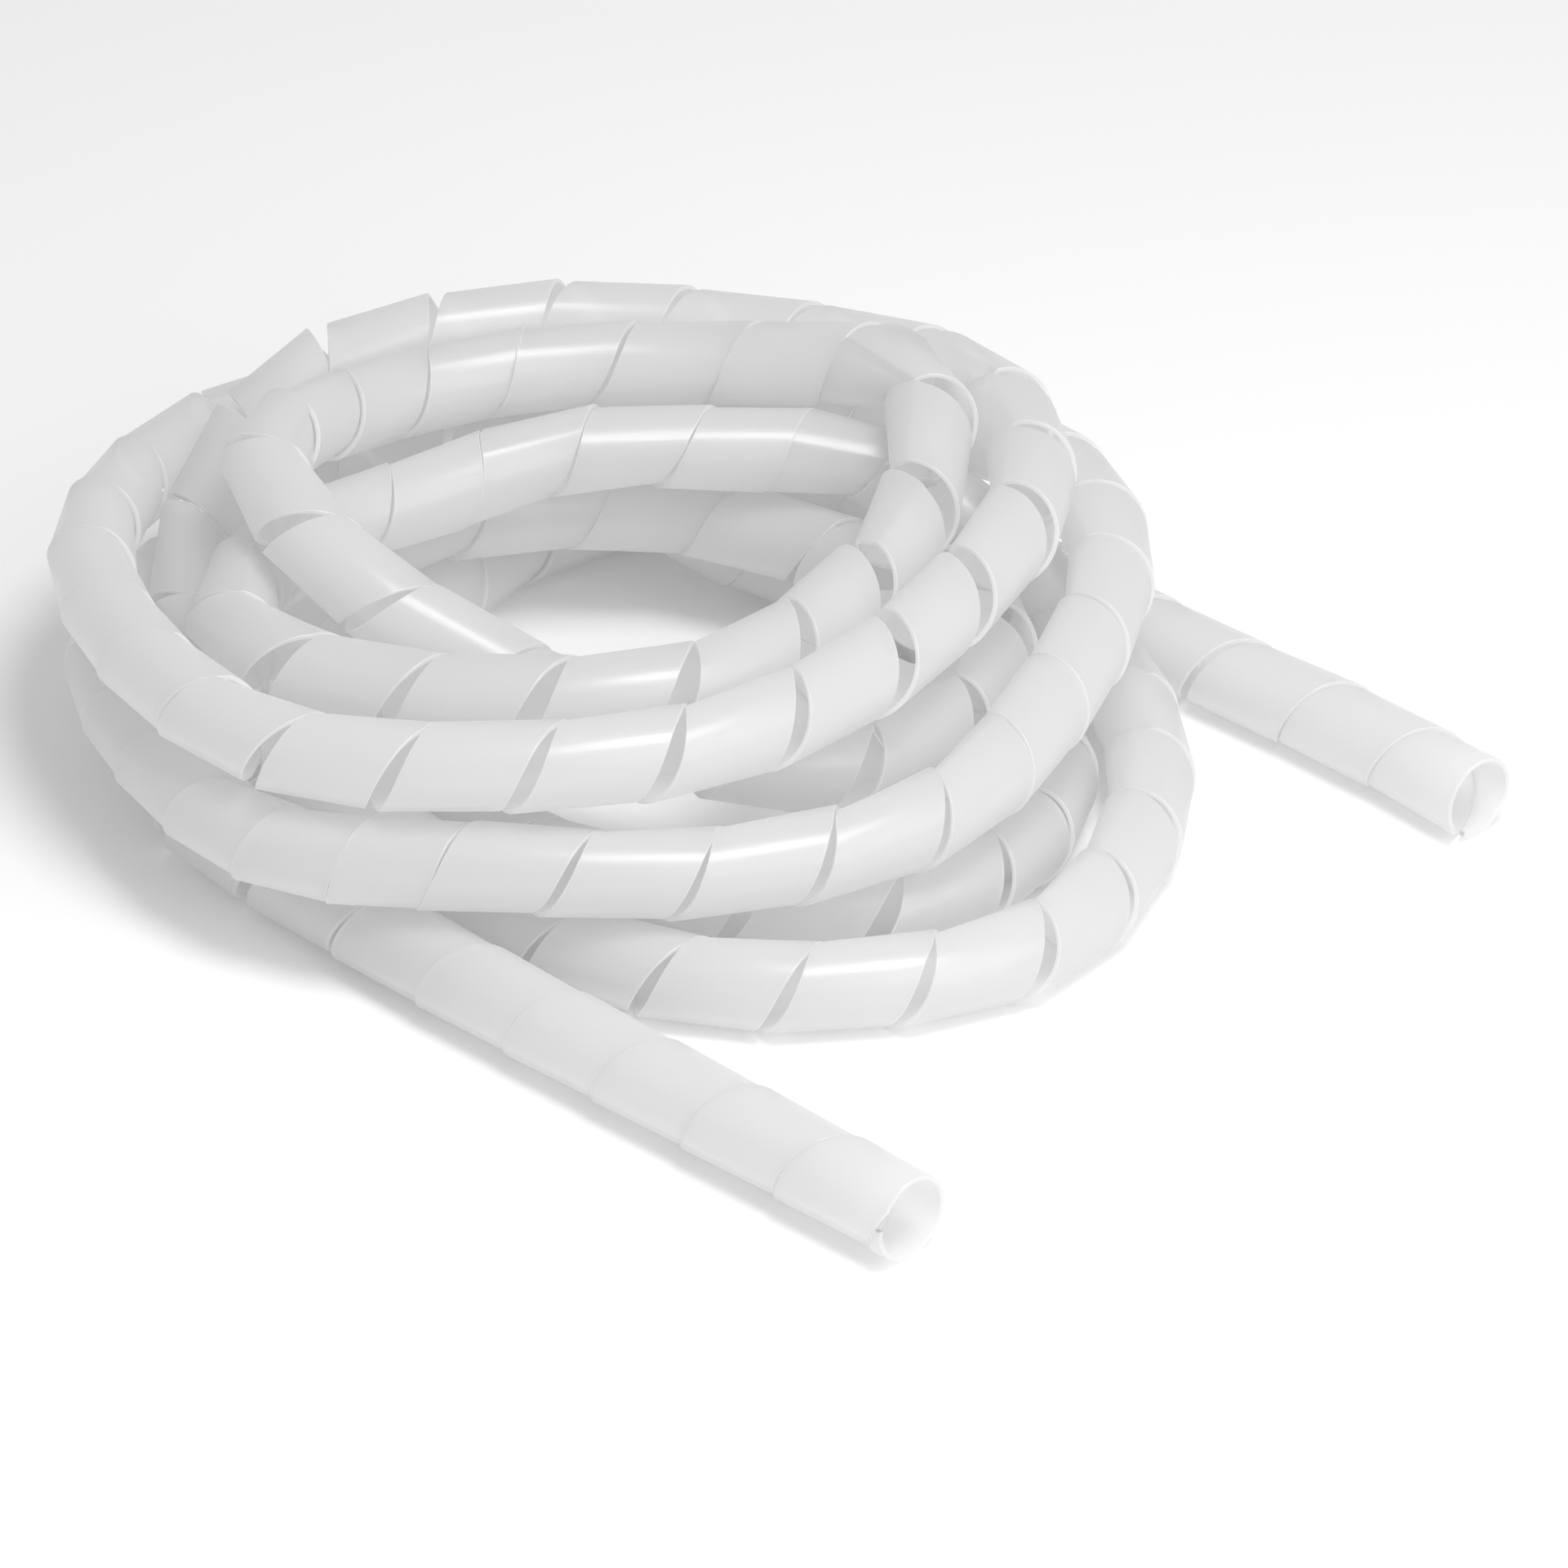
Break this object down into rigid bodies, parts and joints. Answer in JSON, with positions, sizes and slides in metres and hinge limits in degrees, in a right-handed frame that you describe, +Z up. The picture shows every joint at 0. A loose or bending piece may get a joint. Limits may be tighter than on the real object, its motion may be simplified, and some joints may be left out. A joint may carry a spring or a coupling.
{
  "type": "spiral cable wrap",
  "caption": "Loose coil of milky plastic spiral cable wrap: thin tube slit along one helix, with both square-cut ends lying free on the floor.",
  "frame": {"origin": "middle of the whole coil and its free ends, seen from above, at the floor that the coil lies on", "axes": "+Z up, with the coil lying flat; +X the way both free ends point; +Y towards the side of the shorter free end"},
  "size_m": [0.3828, 0.3026, 0.0962],
  "materials": {
    "natural_polyethylene": "milky translucent, satin"
  },
  "bodies": {
    "root": {"spiral_wrap": "natural_polyethylene"}
  },
  "joints": []
}
